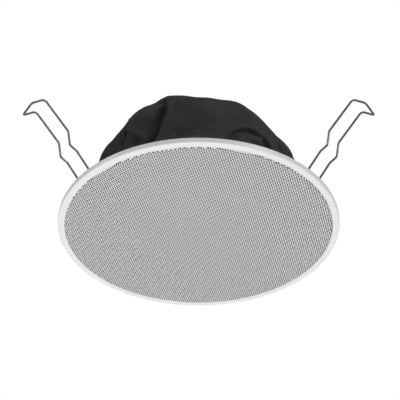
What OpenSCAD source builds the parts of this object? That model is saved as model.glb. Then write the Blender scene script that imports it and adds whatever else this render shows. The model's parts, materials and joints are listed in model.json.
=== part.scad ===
// In ceiling speaker: a round white panel with a punched net, a cone driver with a line
// transformer behind it, a cloth dust cover, and three sprung wire clamps that hold the panel
// up in a round hole. The origin is on the speaker's axis, on the plane where the panel's rim
// meets the underside of the ceiling. +Z points up into the ceiling, so the net faces down.

/* [Driver] */
// Diameter of the paper cone at its outer edge
cone_d = 128; // [110:1:150]
// Depth of the cone, from its edge to its neck
cone_depth = 24; // [18:0.5:30]
// Thickness of the cone's paper
cone_t = 0.8; // [0.5:0.1:1.2]
// Width of the surround's half-round roll
roll_w = 8; // [6:0.5:10]
// Thickness of the surround and the spider
cloth_t = 0.5; // [0.4:0.1:0.8]
// Width of the basket's flange beyond the surround's roll
flange_w = 8; // [7:0.5:12]
// Thickness of the basket's pressed steel
basket_t = 1.2; // [0.8:0.1:1.6]
// Depth of the basket, from its flange to its back plate
basket_depth = 34.2; // [32:0.2:44]
// Diameter of the voice coil's former, inside
former_d = 25.2; // [20:0.2:30]
// Wall of the former, and of the winding on it
former_t = 0.5; // [0.3:0.1:0.8]
// Clearance in the magnet's gap, on each side of the moving coil
gap_play = 0.6; // [0.4:0.1:0.9]
// Diameter of the magnet ring
magnet_d = 80; // [70:1:90]
// Thickness of the magnet ring
magnet_t = 13; // [10:0.5:16]
// Thickness of the top plate
plate_t = 5; // [4:0.5:7]
// Thickness of the yoke's back plate
yoke_t = 4; // [3:0.5:6]
// Number of windows in the basket
window_n = 6; // [4:1:8]
// Travel of the cone each way, which the winding overhangs the magnet's gap by
travel = 1.5; // [0.5:0.1:2.5]

/* [Panel] */
// Wall of the panel's moulding
panel_t = 2; // [1.6:0.1:3]
// Depth of the recess that the net sits in
recess = 2.4; // [1.2:0.1:3]
// Width of the plain ring round the net
ring_w = 5.4; // [4.5:0.1:10]
// Radius of the rim's front edge
rim_round = 1; // [0.3:0.1:1.1]
// Reach of the rim past the edge of the hole in the ceiling
rim_reach = 14.6; // [13:0.1:25]
// Play of the locating lip in the hole in the ceiling
hole_play = 1; // [0.5:0.1:2]
// Height of the locating lip
lip_h = 1.2; // [0.8:0.1:1.4]
// Wall of the locating lip
lip_w = 1.4; // [1:0.1:1.8]
// Height of the driver's seat behind the panel
seat_h = 4; // [3.4:0.2:7]
// Height of the collar that holds the dust cover
collar_h = 18.5; // [17:0.5:24]
// Wall of the collar
collar_t = 1.8; // [1.4:0.1:2.6]
// Reach of the bead at the collar's top
bead_w = 1.1; // [0.8:0.1:1.4]
// Number of stiffening ribs
rib_n = 12; // [12:12:24]

/* [Net] */
// Thickness of the net's sheet
net_t = 0.8; // [0.6:0.1:1]
// How far the net stands forward of the ring
net_proud = 1; // [0.5:0.1:1.8]
// Play round the net in its recess
net_play = 0.3; // [0.2:0.1:0.6]
// Pitch of the punched holes, drawn coarser than the real 2 mm in the same 60 degree stagger
net_pitch = 11.5; // [11.5:0.5:20]
// Share of the pitch that a hole takes
hole_share = 0.65; // [0.5:0.01:0.75]
// Turn of the hole pattern about the axis
net_turn = 17.1; // [0:0.1:59]

/* [Spring clamps] */
// Diameter of the spring wire
wire_d = 1.8; // [1.4:0.1:2.2]
// Distance between the two legs of a clamp
leg_gap = 17.26; // [16:0.1:22]
// Length of a leg from the coil to its knee
foot_len = 31.2; // [26:0.1:36]
// Length of the step at the knee
step_len = 7.1; // [6:0.1:9]
// Length of the riser above the step
riser_len = 13.5; // [11:0.1:16]
// Length of the upper leg
reach_len = 32.5; // [26:0.1:36]
// Length of the hook at the top
hook_len = 13.4; // [10:0.1:15]
// Diameter of the pivot pin
pin_d = 3; // [2.4:0.1:3.6]
// Thickness of the bracket's sheet
bracket_t = 1; // [0.8:0.1:1.4]

/* [Transformer] */
// Width of the laminated core
core_w = 35; // [30:0.5:38]
// Height of the laminated core
core_h = 29.5; // [26:0.5:32]
// Stack of the laminated core
core_stack = 16; // [12:0.5:20]
// Place of the transformer across the speaker
core_x = -8; // [-10:0.5:-6]
// Thickness of the clamp and the bracket round the core
clamp_t = 0.8; // [0.6:0.1:1.2]

/* [Dust cover] */
// Thickness of the cover's cloth
cover_t = 0.8; // [0.5:0.1:1.2]
// How far the cover's side stands in from the collar
cover_in = 6; // [5.5:0.1:8]
// Radius of the cover's soft shoulder
shoulder_r = 44; // [34:1:50]
// Depth of the cover's folds, as a share of the drawn ones
fold_scale = 1; // [0:0.1:1]

/* [Hidden] */
$fn = 96;

// Clearances: parts that touch are drawn this far apart where their faces are round
fit = 0.1;
slip = 0.25;
// How far a piece is sunk into its neighbour of the same moulding, and a cut run past a face
sink = 0.2;
past = 1;

// The clamps' places round the axis
CLAMP_AT = [90, 210, 330];

// Radii, worked outwards from the cone to the panel's edge
cone_r = cone_d / 2;
roll_r = cone_r + roll_w;
opening_r = roll_r + 0.5;
basket_r = roll_r + flange_w + 0.5;
tab_r = 6.5;
tab_at = basket_r - 1.5;
collar_ri = tab_at + tab_r + 1.2;
collar_ro = collar_ri + collar_t;
bracket_r = collar_ro + 0.8;
coil_r = pin_d / 2 + 0.5 + wire_d / 2;
coil_ro = coil_r + wire_d / 2;
pivot_r = bracket_r + bracket_t + slip + coil_ro;
pivot_z = coil_ro + 0.4;
lip_r = pivot_r + coil_ro + 0.85;
hole_r = lip_r + hole_play;
panel_r = hole_r + rim_reach;
net_edge_r = panel_r - ring_w;

// Heights, worked backwards from the panel's face
rim_h = panel_t + recess;
net_z = -rim_h - net_proud;
gasket_t = 1.5;
driver_z = seat_h + gasket_t + cloth_t;
flange_z = driver_z + basket_t;
back_z = driver_z + basket_depth;
yoke_z = back_z + plate_t + magnet_t;
mount_z = yoke_z + yoke_t;
core_z = mount_z + clamp_t;
clamp_top = core_z + core_h + clamp_t;
cover_top = clamp_top + 0.5 + cover_t;

// The moving coil
former_r = former_d / 2;
winding_r = former_r + former_t * 2;
pole_r = former_r - gap_play;
plate_hole_r = winding_r + gap_play;
neck_r = former_r + former_t + fit;
spider_z = back_z - 7.2;
former_z = driver_z + cone_depth - 2;
coil_mid = back_z + plate_t / 2;
coil_h = plate_t + 2 * (travel + 1);
former_top = coil_mid + coil_h / 2 + 3;
shelf_in = plate_hole_r + 22;
shelf_out = shelf_in + 9;
plate_r = min(shelf_in - basket_t, magnet_d / 2 - 4);

// Vectors and outlines
function unit(v) = v / norm(v);
function left(v) = [-v[1], v[0]];
function turned(v, a) = [v[0] * cos(a) - v[1] * sin(a), v[0] * sin(a) + v[1] * cos(a)];
function step(p, i) = unit(p[i + 1] - p[i]);
// Where a wall of thickness 1 has its side at a point of a path, mitred at a bend
function side_of(p, i) =
  i == 0 ? left(step(p, 0)) :
  i == len(p) - 1 ? left(step(p, i - 1)) :
  let (a = left(step(p, i - 1)), b = left(step(p, i))) (a + b) / (1 + a * b);
function on_axis(v) = [max(0, v[0]), v[1]];
// The outline of a sheet of thickness t that follows a path of [radius, height] points
function sheet(p, t) = concat(
  [for (i = [0 : len(p) - 1]) on_axis(p[i] - side_of(p, i) * t / 2)],
  [for (i = [len(p) - 1 : -1 : 0]) on_axis(p[i] + side_of(p, i) * t / 2)]
);
function arc(c, r, a0, a1, n) = [for (i = [0 : n]) let (a = a0 + (a1 - a0) * i / n) c + r * [cos(a), sin(a)]];

module revolved(outline) {
  rotate_extrude() polygon(outline);
}

module tube(r_out, r_in, z, h) {
  translate([0, 0, z]) difference() {
    cylinder(r = r_out, h = h);
    translate([0, 0, -1]) cylinder(r = r_in, h = h + 2);
  }
}

module around(n, first = 0) {
  for (i = [0 : n - 1]) rotate(first + i * 360 / n) children();
}

// A round wire carried along a path of points, with a ring of corners at each point
function square_to(n, t) = unit(n - (n * t) * t);
function heading(p, i) = unit(p[min(i + 1, len(p) - 1)] - p[max(i - 1, 0)]);
function ring_normals(p, n0) = [
  for (i = 0, n = square_to(n0, heading(p, 0));
       i < len(p);
       i = i + 1, n = i < len(p) ? square_to(n, heading(p, i)) : n) n
];
module wire(p, d, n0, sides = 8) {
  n = ring_normals(p, n0);
  rings = [
    for (i = [0 : len(p) - 1], k = [0 : sides - 1])
      let (a = 360 * k / sides, b = cross(heading(p, i), n[i]))
        p[i] + d / 2 * (cos(a) * n[i] + sin(a) * b)
  ];
  last = (len(p) - 1) * sides;
  walls = [
    for (i = [0 : len(p) - 2], k = [0 : sides - 1])
      let (a = i * sides + k, b = i * sides + (k + 1) % sides)
        [a, b, b + sides, a + sides]
  ];
  polyhedron(
    points = rings,
    faces = concat(
      [[for (k = [sides - 1 : -1 : 0]) k]],
      [for (w = walls) [w[0], w[1], w[2]]],
      [for (w = walls) [w[0], w[2], w[3]]],
      [[for (k = [0 : sides - 1]) last + k]]
    )
  );
}

// A corner of a bent wire, as points on an arc of radius r
function bend(a, b, c, r, turn = 15) =
  let (
    u = unit(b - a),
    w = unit(c - b),
    phi = acos(u * w),
    start = b - u * r * tan(phi / 2),
    m = unit(w - (w * u) * u),
    n = ceil(phi / turn)
  )
  [for (i = [0 : n]) start + r * (sin(phi * i / n) * u + (1 - cos(phi * i / n)) * m)];
function bent(p, r) = concat(
  [p[0]],
  [for (i = [1 : len(p) - 2]) each bend(p[i - 1], p[i], p[i + 1], r)],
  [p[len(p) - 1]]
);

// Panel: rim, ring, net recess, driver seat, collar and lip in one moulding
seat_r = basket_r + 1.5;
bead_chamfer = 0.4;
bead_z = collar_h - 1.4;
rib_w = 1.6;
module panel_outline() {
  polygon(concat(
    [[opening_r, -panel_t], [net_edge_r, -panel_t], [net_edge_r, -rim_h]],
    arc([panel_r - rim_round, rim_round - rim_h], rim_round, -90, 0, 5),
    [
      [panel_r, 0], [panel_r - panel_t, 0], [panel_r - panel_t, -recess],
      [net_edge_r + panel_t, -recess], [net_edge_r + panel_t, 0],
      [lip_r, 0], [lip_r, lip_h], [lip_r - lip_w, lip_h], [lip_r - lip_w, 0],
      [collar_ro, 0], [collar_ro, bead_z - bead_w],
      [collar_ro + bead_w, bead_z], [collar_ro + bead_w, collar_h - bead_chamfer],
      [collar_ro + bead_w - bead_chamfer, collar_h], [collar_ri, collar_h], [collar_ri, 0],
      [seat_r, 0], [seat_r, seat_h], [opening_r, seat_h]
    ]
  ));
}

module rib(from, to, top) {
  translate([from, -rib_w / 2, -sink]) cube([to - from, rib_w, top + sink]);
}

// The basket's four ears, which the driver's screws pass through
module tab_places() {
  around(4, 45) translate([tab_at, 0, 0]) children();
}

module panel_frame() {
  color("white") difference() {
    union() {
      rotate_extrude() panel_outline();
      around(rib_n, 15) {
        rib(seat_r - sink, collar_ri + sink, seat_h - 0.5);
        rib(collar_ro - sink, lip_r - lip_w + sink, lip_h - sink);
      }
      tab_places() translate([0, 0, -sink]) cylinder(r = tab_r - 0.6, h = seat_h);
    }
    tab_places() translate([0, 0, screw_end - sink]) cylinder(r = screw_r + fit, h = screw_bite + past);
    for (a = CLAMP_AT) rotate(a) rivet_places()
      translate([0, 0, -panel_t - past]) cylinder(r = rivet_r + fit, h = panel_t + 2 * past);
  }
}

// Net: a shallow pan of sheet steel, with its edge bent back into the panel's recess
net_r = net_edge_r - net_play;
net_bend = 2;
net_hole_r = net_pitch * hole_share / 2;
net_field = net_r - net_bend - net_hole_r - 0.8;

module net_holes() {
  n = ceil(net_field / net_pitch / 0.8);
  for (i = [-n : n], j = [-n : n]) {
    p = turned([i + j / 2, j * sqrt(3) / 2] * net_pitch, net_turn);
    if (norm(p) < net_field) translate(p) circle(r = net_hole_r, $fn = 8);
  }
}

module punched_net() {
  edge = concat(
    [[net_r, -panel_t]],
    arc([net_r - net_bend, net_z + net_bend], net_bend, 0, -90, 6)
  );
  lining = concat(
    arc([net_r - net_bend, net_z + net_bend], net_bend - net_t, -90, 0, 6),
    [[net_r - net_t, -panel_t]]
  );
  color("gainsboro") difference() {
    revolved(concat(edge, [[0, net_z], [0, net_z + net_t]], lining));
    translate([0, 0, net_z - 1]) linear_extrude(net_t + 2) net_holes();
  }
}

module scrim_cloth() {
  color("dimgray") translate([0, 0, net_z + net_t])
    cylinder(r = net_r - net_bend - 0.6, h = 0.3);
}

// Screws and rivets
screw_r = 1.95;
head_r = 3.6;
rivet_r = 1.6;
// How far the driver's screws bite into the panel, and the play round any screw in a clear hole
screw_bite = 4.6;
screw_end = seat_h - screw_bite;
screw_play = 0.35;
// The rivets stand behind the bracket's back sheet, outside its ears
rivet_x = bracket_r + bracket_t + 2;
rivet_y = leg_gap / 2 + 6.4;
rivet_head = 0.7;

module cross_screw(top, under, r, head) {
  translate([0, 0, under]) cylinder(r = r, h = top - under + 0.2);
  difference() {
    translate([0, 0, top]) cylinder(r1 = head, r2 = head * 0.7, h = 2.2);
    for (a = [0, 90]) rotate(a) translate([-head * 0.55, -0.4, top + 1]) cube([head * 1.1, 0.8, 3]);
  }
}

module driver_screws() {
  color("silver") tab_places()
    cross_screw(flange_z, screw_end, screw_r, head_r);
}

module rivet_places() {
  for (s = [-1, 1]) translate([rivet_x, s * rivet_y, 0]) children();
}

module bracket_rivets() {
  color("silver") for (a = CLAMP_AT) rotate(a) rivet_places() {
    translate([0, 0, -panel_t - sink]) cylinder(r = rivet_r, h = panel_t + bracket_t + 2 * sink);
    translate([0, 0, bracket_t]) cylinder(r1 = rivet_r + 1.1, r2 = rivet_r + 0.2, h = rivet_head + 0.3);
    translate([0, 0, -panel_t - rivet_head]) cylinder(r = rivet_r + 0.8, h = rivet_head);
  }
}

// Driver
module driver_gasket() {
  color("black") difference() {
    tube(basket_r, opening_r + 0.5, seat_h, gasket_t);
    tab_places() translate([0, 0, seat_h - past])
      cylinder(r = screw_r + 2 * screw_play, h = gasket_t + 2 * past);
  }
}

shelf_z = spider_z + cloth_t / 2 + basket_t / 2;
wall_r = opening_r + basket_t;
// The wall rises from inside the flange's thickness
basket_path = [
  [wall_r, driver_z + basket_t / 4],
  [wall_r, flange_z + 6],
  [shelf_out, shelf_z],
  [shelf_in, shelf_z],
  [shelf_in, back_z - basket_t / 2],
  [plate_hole_r + 0.4, back_z - basket_t / 2]
];

window_share = 0.7;
window_top = shelf_z - 4.5;
window_foot = flange_z + 7.5;

module window() {
  half = window_share * 180 / window_n;
  near = [shelf_out - 6, 0];
  far = [basket_r + 5, 0];
  translate([0, 0, window_foot]) linear_extrude(window_top - window_foot)
    polygon([turned(near, -half), turned(far, -half), far * 1.1, turned(far, half), turned(near, half)]);
}

module basket() {
  color("darkslategray") difference() {
    union() {
      revolved(sheet(basket_path, basket_t));
      translate([0, 0, driver_z]) linear_extrude(basket_t) difference() {
        union() {
          circle(r = basket_r);
          tab_places() circle(r = tab_r);
        }
        circle(r = wall_r);
      }
    }
    around(window_n) window();
    tab_places() translate([0, 0, driver_z - past])
      cylinder(r = screw_r + screw_play, h = basket_t + 2 * past);
    peg_places() translate([0, 0, shelf_z - basket_t]) cylinder(r = peg_r + fit, h = 2 * basket_t);
  }
}

surround_z = driver_z - cloth_t / 2;

module surround() {
  outline = concat(
    [[roll_r + 4, surround_z]],
    arc([roll_r - roll_w / 2, surround_z], roll_w / 2, 0, -180, 12),
    [[cone_r - 3, surround_z]]
  );
  color("black") revolved(sheet(outline, cloth_t));
}

// The cone's paper stands a little deeper than a straight cone, as a pressed one does
cone_bulge = 1.15;
lip_flat = 3.2;
function cone_z(r) = driver_z + cone_t / 2 + cone_depth * pow((cone_r - r) / (cone_r - neck_r), cone_bulge);

module cone() {
  lip_z = driver_z + cone_t / 2;
  lip = [[cone_r + 0.4, lip_z], [cone_r - lip_flat, lip_z]];
  body = [
    for (i = [1 : 10])
      let (t = i / 10, r = (cone_r - lip_flat) * (1 - t) + (neck_r + cone_t) * t)
        [r, cone_z(r + lip_flat * (1 - t))]
  ];
  color("dimgray") difference() {
    revolved(sheet(concat(lip, body), cone_t));
    translate([0, 0, driver_z]) cylinder(r = neck_r, h = cone_depth + 5);
  }
}

cap_r = 19;
cap_rise = 7;

module dust_cap() {
  z = cone_z(cap_r) - cone_t * 1.5;
  big = (cap_r * cap_r + cap_rise * cap_rise) / (2 * cap_rise);
  half = asin(cap_r / big);
  color("black") revolved(sheet(arc([0, z + big - cap_rise], big, half - 90, -90, 10), 0.6));
}

module coil_former() {
  color("tan") tube(former_r + former_t, former_r, former_z, former_top - former_z);
}

module voice_coil() {
  color("chocolate") tube(winding_r, former_r + former_t + 0.05, coil_mid - coil_h / 2, coil_h);
}

spider_in = former_r + former_t + fit;

module spider() {
  first = spider_in + 3;
  last = shelf_in - 1;
  waves = 4;
  ripple_h = 1.1;
  ripples = [
    for (i = [0 : 8 * waves])
      let (t = i / (8 * waves)) [first + (last - first) * t, spider_z - ripple_h * sin(t * 360 * waves)]
  ];
  color("goldenrod") difference() {
    revolved(sheet(concat([[spider_in - 1, spider_z]], ripples, [[shelf_out - 1.5, spider_z]]), cloth_t));
    cylinder(r = spider_in, h = back_z);
  }
}

module top_plate() {
  color("silver") tube(plate_r, plate_hole_r, back_z, plate_t);
}

module magnet_ring() {
  color("darkgray") revolved([
    [plate_hole_r + 3, back_z + plate_t],
    [magnet_d / 2 - 1, back_z + plate_t],
    [magnet_d / 2, back_z + plate_t + 1],
    [magnet_d / 2, yoke_z - 1],
    [magnet_d / 2 - 1, yoke_z],
    [plate_hole_r + 3, yoke_z]
  ]);
}

vent_r = 3;

module yoke() {
  color("silver") difference() {
    revolved([
      [vent_r, back_z], [pole_r - 0.6, back_z], [pole_r, back_z + 0.6], [pole_r, yoke_z],
      [plate_r, yoke_z], [plate_r, mount_z - 1], [plate_r - 1, mount_z], [vent_r, mount_z]
    ]);
    transformer_screw_places() translate([0, 0, mount_z - 3.4]) cylinder(r = screw_r + fit, h = 5);
  }
}

// Tag strip on the basket's shelf, with its two tags and the tinsel leads to the cone
tag_at = shelf_out - 3;
strip_z = shelf_z + basket_t / 2;
strip_t = 1.5;
peg_r = 1;
tag_w = 3;
tag_t = 0.5;
tag_y = 4.5;

module peg_places() {
  for (s = [-1, 1]) translate([tag_at, s * 8, 0]) children();
}

module tag_strip() {
  color("peru") {
    translate([tag_at - 3.4, -12, strip_z]) cube([7.8, 24, strip_t]);
    peg_places() translate([0, 0, strip_z - basket_t + fit])
      cylinder(r = peg_r, h = basket_t + strip_t + 0.5);
  }
}

module solder_tags() {
  color("gold") for (s = [-1, 1]) translate([tag_at + 1, s * tag_y - tag_w / 2, strip_z + strip_t]) {
    cube([tag_w, tag_w, tag_t]);
    translate([tag_w - 0.4, 0, 0]) cube([tag_t, tag_w, 5]);
  }
}

// The tinsel leads leave the cone, pass out under the top edge of a window and come back to the tags
lead_d = 1;
lead_y = tag_y + 0.9;
function wall_x(z) = wall_r + (shelf_out - wall_r) * (z - flange_z - 6) / (shelf_z - flange_z - 6);

module tinsel_leads() {
  root = cap_r + (cone_r - cap_r) * 0.31;
  out_x = wall_x(window_top) + 1.8;
  for (s = [-1, 1]) {
    y = s * lead_y;
    points = [
      [root, y, cone_z(root) + 1], [root + 3, y, cone_z(root) + 3],
      [root + 9, y, cone_z(root) + 3.5], [out_x - 3, y, window_top - 5.2],
      [out_x, y, window_top - 2], [out_x - 1, y, strip_z - 1],
      [shelf_out + 4.4, y, strip_z + 4], [tag_at + 1 + tag_w + lead_d / 2 + 0.2, y, strip_z + 5]
    ];
    color("orange") wire(bent(points, 2), lead_d, [0, 1, 0], 6);
  }
}

// Line transformer on its bracket behind the magnet
foot_at = core_w / 2 + clamp_t + 4.4;

module transformer_screw_places() {
  for (s = [-1, 1]) translate([core_x + s * foot_at, 0, 0]) children();
}

block_x = core_x + foot_at + head_r + 7.5;
bracket_len = block_x + 7 + foot_at + 5 - core_x;

module transformer_bracket() {
  color("silver") difference() {
    translate([core_x - foot_at - 5, -13, mount_z]) cube([bracket_len, 26, clamp_t]);
    transformer_screw_places() translate([0, 0, mount_z - 1]) cylinder(r = screw_r + 0.3, h = 4);
    for (s = [-1, 1]) translate([block_x, s * 9, mount_z - 1]) cylinder(r = 1.6, h = 4);
  }
}

leg_w = core_w / 3;
window_w = core_w / 6;
window_h = core_h - core_w / 3;

module transformer_core() {
  color("gray") translate([core_x, 0, core_z]) difference() {
    translate([-core_w / 2, -core_stack / 2, 0]) cube([core_w, core_stack, core_h]);
    for (s = [-1, 1]) translate([s * (leg_w + window_w) / 2 - window_w / 2, -core_stack, core_w / 6])
      cube([window_w, core_stack * 2, window_h]);
  }
}

module box_tube(w, d, wall, z, h) {
  translate([core_x, 0, z]) difference() {
    translate([-w / 2, -d / 2, 0]) cube([w, d, h]);
    translate([wall - w / 2, wall - d / 2, -1]) cube([w - 2 * wall, d - 2 * wall, h + 2]);
  }
}

bobbin_z = core_z + core_w / 6 + 0.2;
bobbin_h = window_h - 0.4;
bobbin_w = leg_w + 0.3 + 1.6;
bobbin_d = core_stack + 0.3 + 1.6;
bobbin_reach = window_w - 0.95 - 0.2;

module transformer_bobbin() {
  cheek_w = bobbin_w + 2 * bobbin_reach;
  cheek_d = bobbin_d + 2 * bobbin_reach;
  color("ivory") {
    box_tube(bobbin_w, bobbin_d, 0.8, bobbin_z, bobbin_h);
    box_tube(cheek_w, cheek_d, bobbin_reach + 0.8, bobbin_z, 0.9);
    box_tube(cheek_w, cheek_d, bobbin_reach + 0.8, bobbin_z + bobbin_h - 0.9, 0.9);
  }
}

module transformer_winding() {
  reach = bobbin_reach - 0.4;
  color("khaki") box_tube(bobbin_w + 2 * reach, bobbin_d + 2 * reach, reach, bobbin_z + 0.9, bobbin_h - 1.8);
}

module transformer_clamp() {
  side = core_w / 2;
  path = [
    [-foot_at - 4, core_z + clamp_t / 2], [-side - clamp_t / 2, core_z + clamp_t / 2],
    [-side - clamp_t / 2, clamp_top - clamp_t / 2], [side + clamp_t / 2, clamp_top - clamp_t / 2],
    [side + clamp_t / 2, core_z + clamp_t / 2], [foot_at + 4, core_z + clamp_t / 2]
  ];
  strip = concat(
    [for (i = [0 : 5]) path[i] - side_of(path, i) * clamp_t / 2],
    [for (i = [5 : -1 : 0]) path[i] + side_of(path, i) * clamp_t / 2]
  );
  color("silver") difference() {
    translate([core_x, 5, 0]) rotate([90, 0, 0]) linear_extrude(10) polygon(strip);
    transformer_screw_places() translate([0, 0, core_z - 1]) cylinder(r = screw_r + 0.3, h = 3);
  }
}

module transformer_screws() {
  color("silver") transformer_screw_places()
    cross_screw(core_z + clamp_t, mount_z - 3, screw_r, head_r);
}

// Terminal block: a bar with three wire ports, on two pegs through the bracket
block_h = 11;
PORTS = [-7.6, 0, 7.6];

module terminal_block() {
  color("whitesmoke") {
    difference() {
      translate([block_x - 5, -12, core_z]) cube([10, 24, block_h]);
      for (y = PORTS) {
        translate([block_x, y, core_z + 5]) cylinder(r = 2.2, h = block_h);
        translate([block_x - 6, y, core_z + 3.6]) rotate([0, 90, 0]) cylinder(r = 1.7, h = 12);
      }
    }
    for (s = [-1, 1]) translate([block_x, s * 9, mount_z + fit]) cylinder(r = 1.5, h = clamp_t);
  }
}

module terminal_screws() {
  color("silver") for (y = PORTS) translate([block_x, y, core_z + 5.3]) difference() {
    cylinder(r = 2.1, h = 4);
    translate([-3, -0.35, 3]) cube([6, 0.7, 2]);
  }
}

// Leads from the winding to the tags, laid by hand round the magnet's side
sleeve_d = 1.4;
lead_side = bobbin_d / 2 + bobbin_reach + 0.9;
function by_magnet(out, y, z) = [sqrt(pow(magnet_d / 2 + out, 2) - y * y), y, z];
lead_path = [
  [core_x, lead_side, core_z + 11],
  [core_x + 4, lead_side + 3.5, core_z + 10],
  [core_x + 18, lead_side + 10.5, core_z + 7],
  by_magnet(0.5, 31, core_z + 3),
  by_magnet(6, 26, mount_z - 2.2),
  by_magnet(8.1, 17, yoke_z - 6.2),
  by_magnet(10.8, 9, back_z + plate_t),
  [tag_at + 5.8, tag_y + 0.5, strip_z + 6]
];

module lead_wires() {
  color("firebrick") for (s = [0, 1]) mirror([0, s, 0]) wire(bent(lead_path, 3), sleeve_d, [0, 0, 1], 6);
}

// Dust cover. Its section is a list of [radius, height, way along the cloth, outward angle]
side_r = collar_ro - cover_in;
shoulder_z = cover_top - shoulder_r;
hem_r = collar_ro + fit + cover_t;
top_r = side_r - shoulder_r;
over_bead_r = collar_ro + bead_w + slip + cover_t;
crown_way = shoulder_z + shoulder_r * PI / 2;
function on_side(r, z) = [r, z, z, 0];
function on_shoulder(a) = [
  top_r + shoulder_r * cos(a), shoulder_z + shoulder_r * sin(a), shoulder_z + shoulder_r * a * PI / 180, a
];
function on_crown(in) = [top_r - in, cover_top, crown_way + in, 90];
cover_section = concat(
  [for (z = [collar_h / 2, collar_h - 3.2]) on_side(hem_r, z)],
  [for (z = [collar_h - 1.7, collar_h + 1]) on_side(over_bead_r, z)],
  [on_side((collar_ro + side_r) / 2 + 0.6, collar_h + 5), on_side(side_r + 0.2, collar_h + 11)],
  [for (rise = [17.5, 24.5]) on_side(side_r, collar_h + rise)],
  [for (a = [0 : 15 : 75]) on_shoulder(a)],
  [for (share = [0, 0.36, 0.72]) on_crown(top_r * share)]
);

function soft(t) = let (u = max(0, min(1, t))) u * u * (3 - 2 * u);
function turn_between(a, b) = (a - b + 540) % 360 - 180;
function sum(v) = v * [for (x = v) 1];

// The stays: [azimuth where the shoulder is drawn out to a corner, how far]. The cloth is taut between them
STAYS = [
  [-176, 5.6], [-160, -1.1], [-147, -3.1], [-132.5, 2.2], [-124, -0.2], [-114, 2.4], [-103, 1.6],
  [-84, -1.2], [-63, 0.9], [-47, -2.5], [-30, -5.9], [-12, 0.8], [22, 3], [48, -3], [72, 2], [95, 0],
  [118, 3], [142, -3.5], [162, 2.5]
];
stay_r = 80;
function stay_at(i) = STAYS[i % len(STAYS)][0] + (i < len(STAYS) ? 0 : 360);
function stay_out(i) = stay_r + STAYS[i % len(STAYS)][1];
function stays_under(az, i = 0) = az < stay_at(i + 1) ? i : stays_under(az, i + 1);
// Between two stays the radius follows the straight line that joins them, at full strength on the shoulder
function taut_lift(s, az) =
  let (
    a = (az - stay_at(0) + 720) % 360 + stay_at(0),
    i = stays_under(a),
    gap = stay_at(i + 1) - stay_at(i),
    into = a - stay_at(i),
    p = stay_out(i),
    q = stay_out(i + 1)
  )
  (p * q * sin(gap) / (p * sin(into) + q * sin(gap - into)) - stay_r) *
  soft((s - collar_h - 11.5) / 50) * soft((crown_way + 22 - s) / 46);

// Each fold: [way along at its low end, azimuth there, way along at its high end, azimuth there,
// half-width across, height (below 0 for a valley)]
FOLDS = [
  [24, -118.4, 62, -109.6, 7.5, -5.3], [22, -112.6, 78, -98.2, 4.9, 1.7],
  [48, -109.5, 80, -115.7, 5.2, -2.8], [29, -103.3, 59, -68.8, 8.4, -2.0],
  [29, -59.3, 51, -50.8, 11.0, 4.7], [25, -73.7, 43, -61.3, 6.3, -3.1],
  [34, -51.9, 48, -54.4, 8.9, -5.2], [51, -95.9, 69, -92.0, 12.9, 2.7],
  [25, 8.4, 105, 22.6, 7.1, 1.8], [24, 12.1, 104, 28.0, 8.2, -1.5],
  [26, 31.6, 87, 34.0, 6.4, -2.3], [28, 35.5, 86, 38.4, 10.6, 1.7],
  [23, 58.6, 109, 72.8, 6.0, 1.3], [22, 62.0, 107, 78.6, 6.8, -1.4],
  [26, 111.6, 96, 100.9, 5.5, -1.7], [26, 116.0, 97, 106.5, 8.1, 1.3],
  [23, 131.5, 108, 119.1, 8.2, 1.4], [24, 135.6, 109, 125.8, 5.6, -1.4],
  [25, 149.9, 85, 160.2, 5.8, -1.4], [24, 154.6, 87, 167.2, 6.8, 1.3]
];
function fold_lift(f, s, az, r) =
  let (
    t = (s - f[0]) / (f[2] - f[0]),
    off = turn_between(az, f[1] + (f[3] - f[1]) * t) * PI / 180 * r / f[4]
  )
  f[5] * soft((s - f[0] + 5) / 10) * soft((f[2] - s + 5) / 10) * exp(-off * off);
function cover_lift(s, az, r) =
  fold_scale * soft((s - collar_h - 1) / 6) *
  (taut_lift(s, az) + sum([for (f = FOLDS) fold_lift(f, s, az, max(r, 20))]));

module dust_cover() {
  cols = 100;
  rows = len(cover_section);
  outer = [
    for (c = cover_section, k = [0 : cols - 1])
      let (az = k * 360 / cols, d = cover_lift(c[2], az, c[0]), r = c[0] + d * cos(c[3]))
        [r * cos(az), r * sin(az), c[1] + d * sin(c[3])]
  ];
  inner = [
    for (c = cover_section, k = [0 : cols - 1])
      let (az = k * 360 / cols, d = cover_lift(c[2], az, c[0]) - cover_t, r = c[0] + d * cos(c[3]))
        [r * cos(az), r * sin(az), c[1] + d * sin(c[3])]
  ];
  // The two middles close the cover over its top
  middles = [[0, 0, cover_top], [0, 0, cover_top - cover_t]];
  m = rows * cols;
  quads = [
    for (i = [0 : rows - 2], k = [0 : cols - 1])
      let (j = (k + 1) % cols) [i * cols + k, i * cols + j, (i + 1) * cols + j, (i + 1) * cols + k]
  ];
  last = (rows - 1) * cols;
  color([0.16, 0.16, 0.17]) polyhedron(
    points = concat(outer, inner, middles),
    faces = concat(
      [for (q = quads) [q[0], q[2], q[1]]],
      [for (q = quads) [q[0], q[3], q[2]]],
      [for (q = quads) [m + q[0], m + q[1], m + q[2]]],
      [for (q = quads) [m + q[0], m + q[2], m + q[3]]],
      [for (k = [0 : cols - 1]) let (j = (k + 1) % cols) [last + k, 2 * m, last + j]],
      [for (k = [0 : cols - 1]) let (j = (k + 1) % cols) [m + last + k, m + last + j, 2 * m + 1]],
      [for (k = [0 : cols - 1]) let (j = (k + 1) % cols) [k, j, m + j]],
      [for (k = [0 : cols - 1]) let (j = (k + 1) % cols) [k, m + j, m + k]]
    )
  );
}

hem_cord_d = 2;
hem_cord_z = collar_h - 4.5;

module hem_cord() {
  color("black") rotate_extrude()
    translate([hem_r + fit + hem_cord_d / 2, hem_cord_z]) circle(r = hem_cord_d / 2, $fn = 24);
}

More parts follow.
